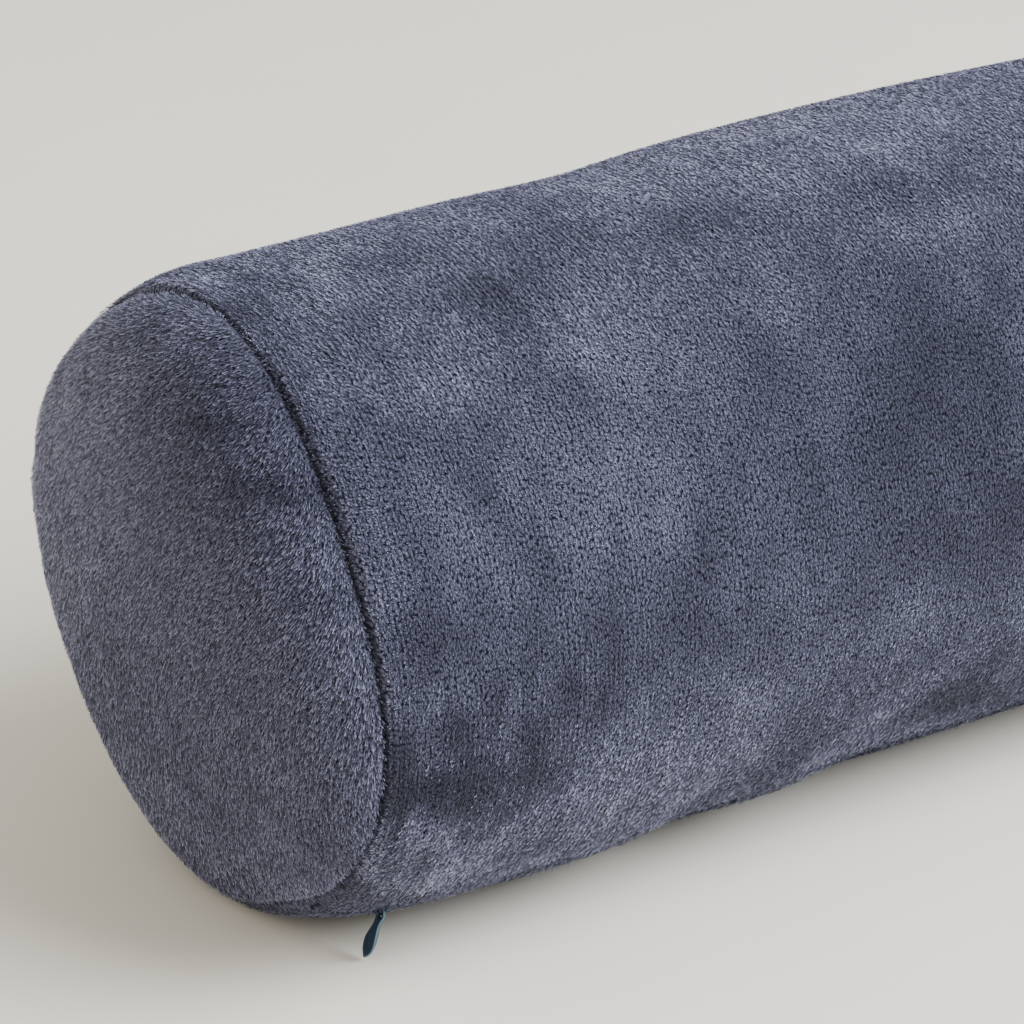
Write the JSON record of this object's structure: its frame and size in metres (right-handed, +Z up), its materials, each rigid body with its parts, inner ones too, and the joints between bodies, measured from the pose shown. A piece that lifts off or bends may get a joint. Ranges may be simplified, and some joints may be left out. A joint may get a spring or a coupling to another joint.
{
  "type": "neck roll pillow",
  "caption": "Round filled neck roll pillow of short-pile plush with crowned, sewn-in end panels and a lengthwise zip seam whose small pull hangs at one end.",
  "frame": {"origin": "middle of the roll's length and depth, at the level of the flat spot on which it rests", "axes": "+X along the roll from the end with the zip pull to the other end, +Y towards the back, +Z up"},
  "size_m": [0.4422, 0.152, 0.1501],
  "materials": {
    "plush": "matt short-pile plush, slate blue-grey, with brushed light and dark patches of nap",
    "zip_enamel": "gloss enamel, dark teal blue"
  },
  "bodies": {
    "root": {"tube_panel": "plush", "end_panel_near": "plush", "end_panel_far": "plush", "zip_slider": "zip_enamel", "zip_pull": "zip_enamel"}
  },
  "joints": []
}
